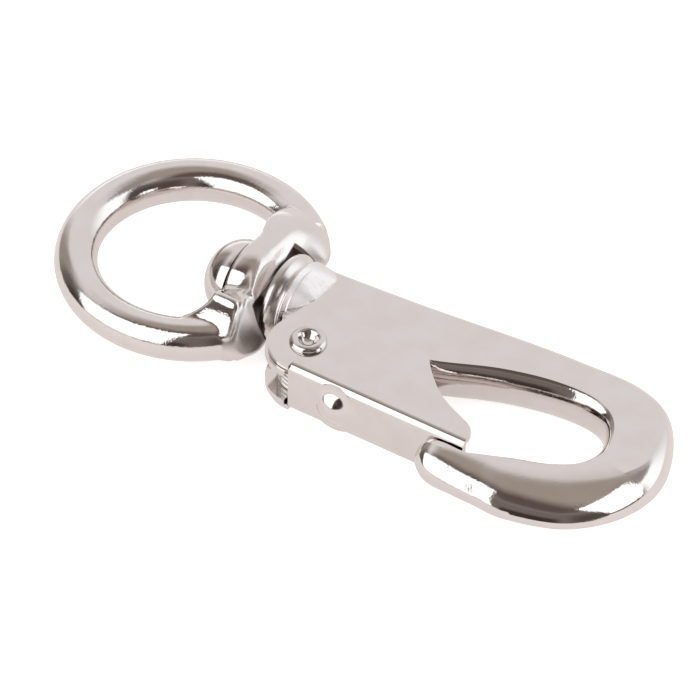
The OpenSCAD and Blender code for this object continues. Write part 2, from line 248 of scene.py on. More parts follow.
# ---------------------------------------------------------------- metal finishes
def bright_nickel(name, tint, rough, grain=0.0, sway=0.0, frosted_neck=False, pocket_painted_shade=False):
    """Bright nickel: a faintly warm mirror that sways a little, with sandy grain under the plate.

    grain and sway are the depth in mm of the fine and of the slow unevenness. frosted_neck gives the
    hook's neck its rough white frosting; the pocket flag after it paints shade into the eye's pocket as a
    dark base colour, with a rougher finish.
    """
    mat = bpy.data.materials.new(name)
    mat.use_nodes = True
    nodes, links = mat.node_tree.nodes, mat.node_tree.links
    shader = nodes["Principled BSDF"]
    place = nodes.new("ShaderNodeTexCoord").outputs["Object"]

    def noise(scale, detail=2.0):
        node = nodes.new("ShaderNodeTexNoise")
        node.inputs["Scale"].default_value = scale
        node.inputs["Detail"].default_value = detail
        links.new(place, node.inputs["Vector"])
        return node.outputs["Fac"]

    def spread(value, low, high, to_low, to_high):
        node = nodes.new("ShaderNodeMapRange")
        node.inputs["From Min"].default_value = low
        node.inputs["From Max"].default_value = high
        node.inputs["To Min"].default_value = to_low
        node.inputs["To Max"].default_value = to_high
        links.new(value, node.inputs["Value"])
        return node.outputs["Result"]

    def combined(kind, a, b=None):
        node = nodes.new("ShaderNodeMath")
        node.operation = kind
        for i, v in enumerate((a, b)):
            if isinstance(v, (int, float)):
                node.inputs[i].default_value = v
            elif v is not None:
                links.new(v, node.inputs[i])
        return node.outputs["Value"]

    def times(a, b):
        return combined("MULTIPLY", a, b)

    def bumped(height, depth, normal=None):
        node = nodes.new("ShaderNodeBump")
        node.inputs["Strength"].default_value = 1
        node.inputs["Distance"].default_value = depth * MM
        links.new(height, node.inputs["Height"])
        if normal:
            links.new(normal, node.inputs["Normal"])
        return node.outputs["Normal"]

    cloud = noise(260, 3)
    colour = nodes.new("ShaderNodeValToRGB")
    colour.color_ramp.elements[0].position = 0.35
    colour.color_ramp.elements[0].color = (tint[0] * 0.965, tint[1] * 0.955, tint[2] * 0.945, 1)
    colour.color_ramp.elements[1].position = 0.65
    colour.color_ramp.elements[1].color = (*tint, 1)
    links.new(cloud, colour.inputs["Fac"])
    gloss = spread(cloud, 0.3, 0.7, rough * 0.7, rough * 1.3)
    normal = bumped(noise(190, 1), sway)
    patches = spread(noise(330, 1), 0.35, 0.6, 0.25, 1)
    normal = bumped(times(noise(3600, 1), patches), grain, normal)

    if not frosted_neck:
        shader.inputs["Metallic"].default_value = 1.0
        links.new(normal, shader.inputs["Normal"])
        if not pocket_painted_shade:
            links.new(colour.outputs["Color"], shader.inputs["Base Color"])
            links.new(gloss, shader.inputs["Roughness"])
            return mat
        # Painted shade: inside the collar's pocket, past its slanting floor, the base colour is painted a
        # dark brown as shade, and the finish there is rougher.
        split = nodes.new("ShaderNodeSeparateXYZ")
        links.new(place, split.inputs[0])
        x, y, z = split.outputs
        depth = combined("ADD", x, combined("MULTIPLY", y, 0.119))
        reach = combined("SQRT", combined("ADD", combined("MULTIPLY", y, y), combined("MULTIPLY", z, z)))
        inside = times(spread(depth, 12.40 * MM, 12.52 * MM, 0, 1), spread(reach, 7.35 * MM, 7.20 * MM, 0, 1))
        # The outer faces of the shoulders are satin, on the near side from the crest on.
        near_side = times(spread(y, -4.6 * MM, -5.8 * MM, 0, 1), spread(x, 12.3 * MM, 13.0 * MM, 0, 1))
        face = combined("MAXIMUM", spread(depth, 12.6 * MM, 13.6 * MM, 0, 1), near_side)
        pocket_shade_mix = nodes.new("ShaderNodeMix")
        pocket_shade_mix.data_type = "RGBA"
        links.new(inside, pocket_shade_mix.inputs[0])
        links.new(colour.outputs["Color"], pocket_shade_mix.inputs[6])
        # the dark brown of the shade painted into the pocket
        pocket_shade_mix.inputs[7].default_value = (0.16, 0.115, 0.105, 1)
        links.new(pocket_shade_mix.outputs[2], shader.inputs["Base Color"])
        satin = combined("MAXIMUM", spread(inside, 0, 1, 0, 0.5), spread(face, 0, 1, 0, 0.38))
        links.new(combined("MAXIMUM", gloss, satin), shader.inputs["Roughness"])
        return mat

    # The neck stands proud of the flats, behind the collar, and is frosted there.
    split = nodes.new("ShaderNodeSeparateXYZ")
    links.new(place, split.inputs[0])
    above = spread(combined("ABSOLUTE", split.outputs["Z"]), 3.03 * MM, 3.12 * MM, 0, 1)
    behind = spread(split.outputs["X"], 16.5 * MM, 16.75 * MM, 0, 1)
    neck = times(above, behind)
    crumbs = nodes.new("ShaderNodeTexVoronoi")
    crumbs.inputs["Scale"].default_value = 1500
    links.new(place, crumbs.inputs["Vector"])
    pits = times(spread(crumbs.outputs["Distance"], 0.16, 0.34, 1, 0), spread(noise(420, 2), 0.5, 0.6, 0, 1))
    neck_pits = times(pits, neck)
    frost = nodes.new("ShaderNodeMix")
    frost.data_type = "RGBA"
    links.new(neck, frost.inputs[0])
    links.new(colour.outputs["Color"], frost.inputs[6])
    frost.inputs[7].default_value = (0.74, 0.705, 0.715, 1)
    marked = nodes.new("ShaderNodeMix")
    marked.data_type = "RGBA"
    links.new(spread(neck_pits, 0, 1, 0, 0.45), marked.inputs[0])
    links.new(frost.outputs[2], marked.inputs[6])
    marked.inputs[7].default_value = (0.35, 0.33, 0.38, 1)
    links.new(marked.outputs[2], shader.inputs["Base Color"])
    links.new(spread(neck, 0, 1, 1, 0.6), shader.inputs["Metallic"])
    collar_front = spread(split.outputs["X"], 13.4 * MM, 13.6 * MM, 0, 0.24)
    collar_back = spread(split.outputs["X"], 16.5 * MM, 17.2 * MM, 1, 0)
    satin = combined("MAXIMUM", spread(neck, 0, 1, 0, 0.36), times(collar_front, collar_back))
    links.new(combined("MAXIMUM", gloss, satin), shader.inputs["Roughness"])
    normal = bumped(times(noise(1600, 3), neck), 0.05, normal)
    links.new(normal, shader.inputs["Normal"])
    return mat


NICKEL = (0.78, 0.74, 0.72)
# The casting's finish paints shade into the eye's pocket as a dark base colour.
cast_nickel = bright_nickel("nickel on casting", NICKEL, 0.085, grain=0.014, sway=0.07, pocket_painted_shade=True)
hook_nickel = bright_nickel("nickel on hook", NICKEL, 0.085, grain=0.008, sway=0.05, frosted_neck=True)
flat_nickel = bright_nickel("nickel on sheet", NICKEL, 0.09, grain=0.002, sway=0.02)
rivet_nickel = bright_nickel("nickel on rivet", (0.74, 0.70, 0.68), 0.12, grain=0.006, sway=0.02)
spring_wire = bright_nickel("spring wire", (0.62, 0.60, 0.58), 0.22, grain=0.006, sway=0.01)


def finish_piece(piece, material, slot, body, *nodes):
    piece.data.materials.clear()
    piece.data.materials.append(material)
    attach(piece, body)
    if nodes:
        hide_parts(*nodes)
    return piece


# ---------------------------------------------------------------- the eye
# The bridge, station by station along Y, each with nine points as (X, height), from the inner edge over the
# crest and the ridge to the outer edge. It is mirrored below. The near shoulder is a leaning crest at Y -8.2
# with a valley beside it, the boss is the barrel about Y 0, and the far side is a flat that falls off.
LEAN = 0.42               # how far the near shoulder's outer side hangs down, per mm past LEAN_X
LEAN_X = 13.0
BRIDGE = [
    (-15.2, [(6.6, 0), (6.6, 0.5), (7.0, 0.9), (7.8, 1.2), (8.4, 1.1),
        (8.9, 0.9), (9.3, 0.6), (9.6, 0.3), (9.7, 0)]),
    (-13.6, [(5.3, 0), (5.3, 1.3), (5.8, 1.9), (7.2, 2.4), (9.0, 2.3),
        (10.6, 1.8), (11.4, 1.1), (11.9, 0.5), (12.1, 0)]),
    (-12.2, [(5.9, 0), (5.9, 1.9), (6.2, 2.5), (7.4, 2.75), (12.4, 2.25),
        (13.0, 1.6), (13.4, 1.2), (13.8, 0.6), (14.0, 0)]),
    (-11.2, [(7.1, 0), (7.1, 2.6), (7.3, 3.1), (8.1, 3.25), (12.6, 3.0),
        (13.35, 2.2), (13.85, 2.0), (14.6, 0.9), (15.0, 0)]),
    (-10.2, [(7.9, 0), (7.9, 3.2), (8.08, 3.7), (8.8, 3.85), (12.4, 3.7),
        (13.15, 2.85), (13.65, 2.65), (14.8, 1.2), (15.5, 0)]),
    (-9.2, [(8.4, 0), (8.4, 3.8), (8.58, 4.27), (9.3, 4.4), (12.1, 4.3),
        (12.9, 3.4), (13.45, 3.1), (14.8, 1.5), (15.8, 0)]),
    (-8.2, [(8.6, 0), (8.6, 4.35), (8.78, 4.85), (9.5, 5.0), (11.9, 4.9),
        (12.65, 3.9), (13.2, 3.5), (14.7, 1.8), (15.9, 0)]),
    (-7.2, [(8.5, 0), (8.5, 3.85), (8.68, 4.33), (9.4, 4.45), (11.6, 4.45),
        (12.3, 4.1), (12.85, 3.95), (14.4, 2.1), (15.8, 0)]),
    (-6.2, [(8.3, 0), (8.3, 3.0), (8.6, 3.5), (9.5, 3.75), (10.7, 3.95),
        (11.8, 4.1), (12.5, 4.15), (14.1, 2.5), (15.6, 0)]),
    (-5.4, [(8.1, 0), (8.1, 2.6), (8.35, 3.3), (9.2, 3.45), (10.4, 3.75),
        (12.2, 4.4), (13.3, 3.3), (14.1, 2.4), (14.8, 0)]),
    (-4.8, [(7.95, 0), (7.95, 2.7), (8.2, 3.3), (9.0, 3.45), (10.1, 3.65),
        (12.0, 4.5), (12.9, 3.5), (13.6, 2.7), (14.4, 0)]),
    (-4.0, [(7.8, 0), (7.8, 3.4), (8.05, 4.02), (9.0, 4.15), (10.0, 4.15),
        (11.75, 4.7), (12.6, 3.7), (13.2, 2.9), (14.0, 0)]),
    (-3.0, [(7.75, 0), (7.75, 4.2), (8.0, 4.8), (9.0, 4.92), (10.1, 4.85),
        (11.5, 4.95), (12.3, 3.9), (12.9, 3.0), (13.7, 0)]),
    (-1.5, [(7.72, 0), (7.72, 4.9), (7.97, 5.45), (9.0, 5.57), (10.2, 5.5),
        (11.3, 5.1), (12.1, 4.0), (12.7, 3.1), (13.5, 0)]),
    (0, [(7.7, 0), (7.7, 5.1), (7.95, 5.65), (9.0, 5.77), (10.2, 5.65),
        (11.1, 5.2), (11.9, 4.1), (12.5, 3.2), (13.4, 0)]),
    (1.5, [(7.68, 0), (7.68, 5.0), (7.93, 5.5), (8.9, 5.62), (10.1, 5.5),
        (10.95, 5.1), (11.75, 4.0), (12.35, 3.1), (13.3, 0)]),
    (3.0, [(7.66, 0), (7.66, 4.8), (7.9, 5.25), (8.8, 5.4), (9.9, 5.35),
        (10.8, 5.05), (11.6, 3.95), (12.2, 3.05), (13.2, 0)]),
    (4.4, [(7.62, 0), (7.62, 4.6), (7.85, 5.05), (8.6, 5.2), (9.7, 5.15),
        (10.75, 4.9), (11.6, 3.85), (12.25, 2.95), (13.2, 0)]),
    (5.8, [(7.2, 0), (7.2, 4.5), (7.45, 4.95), (8.3, 5.1), (9.6, 5.05),
        (10.7, 4.75), (11.7, 3.75), (12.6, 2.8), (13.6, 0)]),
    (7.2, [(6.8, 0), (6.8, 4.4), (7.05, 4.85), (8.0, 5.0), (9.5, 4.95),
        (10.7, 4.6), (12.0, 3.6), (13.2, 2.4), (14.6, 0)]),
    (8.6, [(6.65, 0), (6.65, 4.1), (6.9, 4.6), (7.9, 4.75), (9.5, 4.65),
        (10.8, 4.3), (12.3, 3.3), (13.8, 2.0), (15.2, 0)]),
    (10.0, [(6.55, 0), (6.55, 3.6), (6.8, 4.1), (7.8, 4.3), (9.4, 4.2),
        (10.8, 3.8), (12.4, 2.8), (13.8, 1.6), (14.9, 0)]),
    (11.4, [(6.5, 0), (6.5, 3.0), (6.75, 3.45), (7.7, 3.6), (9.2, 3.5),
        (10.7, 3.1), (12.2, 2.2), (13.3, 1.2), (14.05, 0)]),
    (12.8, [(6.5, 0), (6.5, 2.3), (6.75, 2.7), (7.6, 2.85), (9.0, 2.75),
        (10.4, 2.3), (11.6, 1.6), (12.5, 0.8), (12.95, 0)]),
    (14.0, [(6.5, 0), (6.5, 1.5), (6.75, 1.8), (7.5, 2.0), (8.6, 1.9),
        (9.6, 1.5), (10.5, 1.0), (11.2, 0.5), (11.5, 0)]),
    (15.2, [(6.8, 0), (6.8, 0.5), (7.0, 0.8), (7.6, 1.0), (8.2, 0.9),
        (8.7, 0.7), (9.1, 0.5), (9.4, 0.2), (9.5, 0)]),
]


def make_bridge(steps=8, fine=5):
    """A bar laid along Y through the stations, with rounded sections, mirrored below but for the lean."""
    rows = [[y] + [v for point in half for v in point] for y, half in BRIDGE]
    last = len(rows) - 1
    runs = []
    for i in range(last):
        for k in range(steps):
            runs.append(blend(rows[max(i - 1, 0)], rows[i], rows[i + 1], rows[min(i + 2, last)], k / steps))
    runs.append(rows[last])
    mesh = bmesh.new()
    rings = []
    for run in runs:
        y, half = run[0], list(zip(run[1::2], run[2::2]))
        closed = half + [(x, -z) for x, z in reversed(half[1:-1])]
        lean = LEAN * min(max((-5.4 - y) / 1.8, 0), 1) * min(max((y + 13.4) / 2.2, 0), 1)
        closed = [(x, z - lean * max(x - LEAN_X, 0)) for x, z in closed]
        n = len(closed)
        ring = []
        for i in range(n):
            for k in range(fine):
                x, z = blend(closed[i - 1], closed[i], closed[(i + 1) % n], closed[(i + 2) % n], k / fine)
                ring.append(mesh.verts.new(mm(x, y, z)))
        rings.append(ring)
    n = len(rings[0])
    for a, b in zip(rings, rings[1:]):
        for j in range(n):
            mesh.faces.new((a[j], a[(j + 1) % n], b[(j + 1) % n], b[j]))
    mesh.faces.new(list(reversed(rings[0])))
    mesh.faces.new(rings[-1])
    bmesh.ops.recalc_face_normals(mesh, faces=mesh.faces)
    nothing_selected()
    bpy.ops.mesh.primitive_plane_add(size=MM)
    bridge = named("bridge")
    mesh.to_mesh(bridge.data)
    mesh.free()
    return bridge


SKIN = 0.02               # what the casting's softening takes off the bar
RING_START, RING_END = 47, 318


def make_ring(start, end, steps=190):
    """Round bar bent into the open part of the ring, from one shoulder of the bridge to the other."""
    nothing_selected()
    bpy.ops.mesh.primitive_circle_add(
        vertices=56, radius=(BAR_R + SKIN) * MM, fill_type="NGON", rotation=(math.pi / 2, 0, 0))
    ring = settle(named("ring"))
    ring.data.transform(
        Matrix.Rotation(math.radians(end), 4, "Z") @ Matrix.Translation(mm(RING_R + SKIN, 0, 0)))
    pick(ring)
    bpy.ops.object.mode_set(mode="EDIT")
    bpy.ops.mesh.select_all(action="SELECT")
    bpy.ops.mesh.spin(steps=steps, angle=math.radians(end - start), center=(0, 0, 0), axis=(0, 0, 1))
    bpy.ops.mesh.select_all(action="SELECT")
    bpy.ops.mesh.normals_make_consistent(inside=False)
    bpy.ops.object.mode_set(mode="OBJECT")
    return ring


def make_eye():
    """Ring and bridge run into one casting, then bored for the stud and recessed for the collar."""
    eye = join("eye", make_ring(RING_START, RING_END), make_bridge())
    eye = cast(eye, 0.17, 7)
    combine(eye, rod("bore", 10.6, 0, 0, STUD_BORE_R, 14, "X"))
    pocket = rod("pocket", 0, 0, 0, POCKET_R, 10, "X", 160)
    pocket.data.transform(
        Matrix.Translation(mm(12.55, -0.35, 0)) @ Matrix.Rotation(math.radians(POCKET_TURN), 4, "Z")
        @ Matrix.Translation(mm(5, 0, 0)))
    combine(eye, pocket)
    eye.name = "eye"
    return smooth_shaded(clean(eye), 28)


# ---------------------------------------------------------------- the hook
BAY = (57.6, -3.8)        # middle of the bay's round end
BAY_R = 6.9
BOW_W = 7.8               # the bow across, at its end
NOSE_Y = PIN_Y - REACH - 0.3
GATE_END = PIN_X + GATE_LEN
NOSE_X = GATE_END - 5.8
FOOT_X = GATE_END + 0.73 * (BAY[0] - GATE_END)
BACK_Y = 6.9
HEEL_X = PIN_X + 15
BAY_TOP = BAY_R - 3.8


def on_bow(angle, r):
    return BAY[0] + r * math.cos(math.radians(angle)), BAY[1] + r * math.sin(math.radians(angle))


def limb_rows():
    """Stations of the limb: inner and outer point in the plan, the bulges there, share of the thickness."""
    x = SEAT_X
    return [
        ((x + 3.4, -1.5), (x + 3.0, BACK_Y - 0.6), 0.1, 1.6, 1),
        ((PIN_X + 0.8, -1.5), (PIN_X + 1.4, BACK_Y), 0.1, 1.8, 1),
        ((HEEL_X - 7.6, -3.2), (HEEL_X - 6.6, BACK_Y + 0.5), 0.1, 1.8, 1),
        ((HEEL_X - 1, BAY_TOP - 5.5), (HEEL_X - 0.2, BACK_Y + 1.1), 1.3, 1.8, 1),
        ((BAY[0] - 11.8, BAY_TOP - 1.9), (BAY[0] - 12.2, BACK_Y + 1.9), 1.5, 1.9, 1),
        ((BAY[0] - 4.4, BAY_TOP - 0.1), (BAY[0] - 3.9, BACK_Y + 2.4), 1.5, 1.9, 1),
        (on_bow(76, BAY_R), on_bow(68, BAY_R + BOW_W - 0.8), 1.4, 1.8, 1),
        (on_bow(40, BAY_R), on_bow(40, BAY_R + BOW_W - 0.1), 1.3, 1.4, 1),
        (on_bow(0, BAY_R), on_bow(5, BAY_R + BOW_W), 1.2, 2.3, 1),
        (on_bow(-34, BAY_R), on_bow(-25, BAY_R + BOW_W), 1.3, 4.4, 1),
        (on_bow(-70, BAY_R), on_bow(-56, BAY_R + BOW_W - 0.1), 1.5, 5.6, 1),
        ((FOOT_X, NOSE_Y + 2.1), (FOOT_X + 3, NOSE_Y - 4.4), 1.5, 5.0, 1),
        ((GATE_END + 2.8, NOSE_Y + 0.9), (GATE_END + 4.2, NOSE_Y - 4.4), 0.9, 4.5, 1),
        ((GATE_END + 0.4, NOSE_Y), (GATE_END + 0.8, NOSE_Y - 4.3), 0.1, 4.0, 1),
        ((NOSE_X + 3.2, NOSE_Y), (NOSE_X + 3, NOSE_Y - 4), 0.1, 3.1, 1),
        ((NOSE_X + 1.3, NOSE_Y - 0.1), (NOSE_X + 1.0, NOSE_Y - 2.9), 0.1, 2.2, 0.86),
        ((NOSE_X + 0.2, NOSE_Y - 0.5), (NOSE_X + 0.1, NOSE_Y - 1.8), 0.1, 1.1, 0.45),
    ]


def blend(a, b, c, d, t):
    return [
        0.5 * (2 * q + (r - p) * t + (2 * p - 5 * q + 4 * r - s) * t * t + (3 * q - p - 3 * r + s) * t ** 3)
        for p, q, r, s in zip(a, b, c, d)
    ]


def make_limb(steps=10, side_steps=20, edge=72):
    """The limb from the neck round the bow to the nose: flat above and below, bulged at the sides."""
    rows = [[*inner, *outer, ri, ro, share] for inner, outer, ri, ro, share in limb_rows()]
    last = len(rows) - 1
    fine = []
    for i in range(last):
        for k in range(steps):
            fine.append(blend(rows[max(i - 1, 0)], rows[i], rows[i + 1], rows[min(i + 2, last)], k / steps))
    fine.append(rows[last])
    cos_e, sin_e = math.cos(math.radians(edge)), math.sin(math.radians(edge))
    mesh = bmesh.new()
    rings = []
    for x0, y0, x1, y1, ri, ro, share in fine:
        inner, outer = Vector((x0, y0)), Vector((x1, y1))
        across = (outer - inner).normalized()
        flat_end = outer - across * ro
        half = HALF_T * share
        ring = []
        for k in range(side_steps + 1):
            a = math.radians(edge * (1 - 2 * k / side_steps))
            p = flat_end + across * ro * (math.cos(a) - cos_e) / (1 - cos_e)
            ring.append(mesh.verts.new(mm(p.x, p.y, half * math.sin(a) / sin_e)))
        for k in range(side_steps + 1):
            a = math.radians(edge * (2 * k / side_steps - 1))
            p = inner - across * ri * (math.cos(a) - cos_e) / (1 - cos_e)
            ring.append(mesh.verts.new(mm(p.x, p.y, half * math.sin(a) / sin_e)))
        rings.append(ring)
    n = len(rings[0])
    for a, b in zip(rings, rings[1:]):
        for j in range(n):
            mesh.faces.new((a[j], a[(j + 1) % n], b[(j + 1) % n], b[j]))
    mesh.faces.new(list(reversed(rings[0])))
    mesh.faces.new(rings[-1])
    bmesh.ops.recalc_face_normals(mesh, faces=mesh.faces)
    nothing_selected()
    bpy.ops.mesh.primitive_plane_add(size=MM)
    limb = named("limb")
    mesh.to_mesh(limb.data)
    mesh.free()
    return limb


def make_hook():
    """Plate, limb, neck and stud as one body, with the ears' slot cut and the pin's bore drilled."""
    limb = make_limb()
    outline = (
        [(SEAT_X + 3.2, -3.5)]
        + [(SEAT_X + 3.2, -5)]
        + arc(PIN_X, PIN_Y, EAR_R, 150, 268.5, 40)
        + arc(PIN_X, PIN_Y, EAR_IN_R, 269, 360, 28)
        + [(HEEL_X - 6.4, -5.4), (HEEL_X, BAY_TOP - 4.3), (HEEL_X, 2.5), (SEAT_X + 6, 3.5), (SEAT_X + 4, 1)]
    )
    plate = prism("plate", outline, -HALF_T, HALF_T)
    neck_x = SEAT_X + 2.8
    neck = hull(
        "neck",
        rod("front", neck_x + 0.05, 0, 0, 6.02, 0.1, "X", 192),
        rod("edge", neck_x + 0.2, 0, 0, 6.1, 0.1, "X", 192),
        rod("foot", neck_x + 2.95, 0, 0, 3.0, 0.1, "X", 192),
        rod("back", neck_x + 3.25, 3.4, 0, 3.0, 0.1, "X", 192),
    )
    head = [(0, HEAD_X - HEAD_H)]
    for k in range(1, 31):
        a = math.radians(3 * k)
        head.append((HEAD_R * math.sin(a), HEAD_X - HEAD_H * math.cos(a)))
    front = SEAT_X + 0.2
    shank = [(3.1, HEAD_X), (3.1, front)]
    rim = [(5.3, 0), (5.75, 0.05), (6.05, 0.2), (6.22, 0.42), (6.3, 0.7),
           (6.3, 0.95), (6.22, 1.2), (6.05, 1.45), (5.82, 1.7), (5.6, 1.9)]
    groove = [(5.44, 2.1), (5.4, 2.3), (5.44, 2.5), (5.6, 2.7), (5.6, 3.5), (0, 3.5)]
    collar = [(r, front + x) for r, x in rim + groove]
    stud = turned("stud", head + shank + collar, (0, 0, 0), "X", 144)
    hook = combine(plate, limb, "UNION")
    slot = block("slot", (PIN_X - EAR_R - 1, -30, -SLOT_H / 2), (PIN_X + 12.5, PIN_Y + SLOT_END, SLOT_H / 2))
    combine(hook, slot)
    combine(hook, rod("bore", PIN_X, PIN_Y, 0, PIN_BORE_R, 12))
    combine(hook, neck, "UNION")
    combine(hook, stud, "UNION")
    hook.name = "hook"
    return smooth_shaded(clean(hook, 0.001), 15)


# ---------------------------------------------------------------- the gate
# The cheek's sloping edge, as shares of its run and of its fall, and where it ends over the pin.
FALL = [(0.008, 0.063), (0.048, 0.14), (0.119, 0.198), (0.254, 0.266), (0.381, 0.333),
        (0.5, 0.411), (0.627, 0.527), (0.73, 0.643), (0.833, 0.778), (0.929, 0.932)]


TOP_X, TOP_Y = 12.1, 7


def cheek_outline():
    lip = 1.5 - REACH
    fall = (TOP_X + 1.4 - GATE_LEN, TOP_Y - 0.3 - lip)
    points = [(GATE_LEN, lip)] + [(GATE_LEN + p * fall[0], lip + q * fall[1]) for p, q in FALL]
    points += [(GATE_LEN + fall[0], lip + fall[1]), (TOP_X, TOP_Y)]
    points += [(0.3 * TOP_X, 0.93 * TOP_Y), (0.16 * TOP_X, 0.845 * TOP_Y)]
    rear = arc(0, 0, REACH, 95, 270, 60)
    points = points + rear + [(GATE_LEN, -REACH)]
    return [(PIN_X + x, PIN_Y + y) for x, y in points]


def channel(name, inset, x0, x1):
    """A bar with the gate's folded section, open to the back, made smaller all round by inset."""
    r = max(1.1 - inset, 0.12)
    z = GATE_H / 2 - inset
    y = PIN_Y - REACH + inset
    low = []
    for k in range(11):
        a = math.radians(9 * k)
        low.append((y + r - r * math.cos(a), -z + r - r * math.sin(a)))
    top = [(p, -q) for p, q in low]
    section = [(20, -z)] + list(reversed(low)) + top + [(20, z)]
    nothing_selected()
    bpy.ops.mesh.primitive_plane_add(size=MM)
    piece = named(name)
    mesh = bmesh.new()
    mesh.faces.new([mesh.verts.new((x0 * MM, y * MM, z * MM)) for y, z in section])
    mesh.to_mesh(piece.data)
    mesh.free()
    pick(piece)
    bpy.ops.object.mode_set(mode="EDIT")
    bpy.ops.mesh.select_all(action="SELECT")
    bpy.ops.mesh.extrude_region_move(TRANSFORM_OT_translate={"value": ((x1 - x0) * MM, 0, 0)})
    bpy.ops.mesh.select_all(action="SELECT")
    bpy.ops.mesh.normals_make_consistent(inside=False)
    bpy.ops.object.mode_set(mode="OBJECT")
    return piece


BUMP_R, BUMP_H = 3.7, 1.5
BUMP_FROM_PIN = 7.1


def make_gate():
    """A channel folded from sheet, cut to the cheeks' outline, with the thumb bump pressed out of its web."""
    gate = channel("folded_gate", 0, PIN_X + 0.2, 60)
    for side in (-1, 1):
        z = side * (CHEEK_Z + SHEET / 2)
        combine(gate, block("cheek", (0, -30, z - SHEET / 2), (PIN_X + 0.25, 20, z + SHEET / 2)), "UNION")
    combine(gate, channel("inside", SHEET, 0, 70))
    combine(gate, prism("outline", cheek_outline(), -8, 8), "INTERSECT")
    combine(gate, rod("bore", PIN_X, PIN_Y, 0, PIN_BORE_R, 12))
    clean(gate, 0.001)
    break_edges(gate, 0.1, 40, 3)
    dome, height = [(0, BUMP_H)], BUMP_H
    for k in range(1, 38):
        r = 0.1 * k
        height -= 0.1 * 0.81 * ((r - 0.05) / 2 if r <= 2 else (BUMP_R - r + 0.05) / 1.7)
        dome.append((r, max(height, -0.005)))
    dome += [(BUMP_R, -0.4), (0, -0.4)]
    bump = turned("bump", dome, (0, 0, 0), "Z", 96)
    bump.data.transform(
        Matrix.Translation(mm(PIN_X + BUMP_FROM_PIN, PIN_Y - REACH, 0))
        @ Matrix.Rotation(math.pi / 2, 4, "X"))
    combine(gate, bump, "UNION")
    gate.name = gate.data.name = "folded_gate"
    return smooth_shaded(clean(gate, 0.001), 24)


# ---------------------------------------------------------------- rivet and spring
def make_rivet():
    """A tubular rivet turned in one: a rolled rim round a throat above, a low dome below."""
    grip = CHEEK_Z + SHEET + 0.05
    r, shank_r = 2.45, 1.55
    throat = [(0, -0.37), (0.25, -0.36), (0.5, -0.32), (0.7, -0.24), (0.85, -0.12), (1.0, 0.05), (1.15, 0.25)]
    rim = [(1.28, 0.48), (1.42, 0.62), (1.6, 0.72), (1.8, 0.75), (2.0, 0.71),
           (2.18, 0.61), (2.33, 0.46), (2.42, 0.28), (2.45, 0.12), (2.45, 0)]
    dome = [(1, 0), (0.92, 0.25), (0.75, 0.47), (0.5, 0.65), (0.25, 0.73), (0, 0.75)]
    profile = [(x, grip + h) for x, h in throat + rim] + [(shank_r, grip), (shank_r, -grip)]
    profile += [(r * share, -grip - h) for share, h in dome]
    rivet = turned("rivet", profile, (PIN_X, PIN_Y, 0), "Z", 96)
    return smooth_shaded(rivet, 35)


def make_spring():
    """The coil is wound round the rivet; one leg lies on the web, the other on the slot's end."""
    wire_r, turns, steps, play = 0.325, 4.5, 40, 0.04
    coil_r = 4.0 - wire_r
    half = (SLOT_H - 0.15 - 2 * wire_r) / 2
    web_y = -REACH + SHEET + play + wire_r
    slot_y = SLOT_END - play - wire_r
    path = [(8, web_y, -half), (4, (web_y - coil_r) / 2, -half)]
    for k in range(int(turns * steps) + 1):
        a = math.radians(-90 - 360 * k / steps)
        path.append((coil_r * math.cos(a), coil_r * math.sin(a), 2 * half * k / (turns * steps) - half))
    path += [(4, (slot_y + coil_r) / 2, half), (8, slot_y, half)]
    curve = bpy.data.curves.new("spring", "CURVE")
    curve.dimensions = "3D"
    curve.bevel_depth = wire_r * MM
    curve.bevel_resolution = 5
    curve.use_fill_caps = True
    line = curve.splines.new("POLY")
    line.points.add(len(path) - 1)
    for point, (x, y, z) in zip(line.points, path):
        point.co = (*mm(PIN_X + x, PIN_Y + y, z), 1)
    spring = bpy.data.objects.new("spring", curve)
    bpy.context.collection.objects.link(spring)
    pick(spring)
    bpy.ops.object.convert(target="MESH")
    return smooth_shaded(named("spring"), 40)


eye = finish_piece(make_eye(), cast_nickel, "plated_casting", "eye", "swivel_eye")
hook = finish_piece(make_hook(), hook_nickel, "plated_casting", "hook", "hook_body")
gate = finish_piece(make_gate(), flat_nickel, "plated_sheet", "gate", "gate")
rivet = finish_piece(make_rivet(), rivet_nickel, "plated_rivet", "hook", "gate_rivet")
spring = make_spring()
spring.data.materials.clear()
spring.data.materials.append(spring_wire)
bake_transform(spring)
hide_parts("gate_spring")


# ---------------------------------------------------------------- table, light and camera
def seen(r, g, b):
    """A surrounding that nickel shows in this screen colour."""
    def linear(c):
        c /= 255
        return c / 12.92 if c <= 0.04045 else ((c + 0.055) / 1.055) ** 2.4
    return tuple(linear(c) / m for c, m in zip((r, g, b), NICKEL)) + (1,)


DEGREES = 57.29578
PANEL_GLOW = 1.6
WINDOW_POWER = 0.0046
WINDOW_W, WINDOW_H = 0.024, 0.038


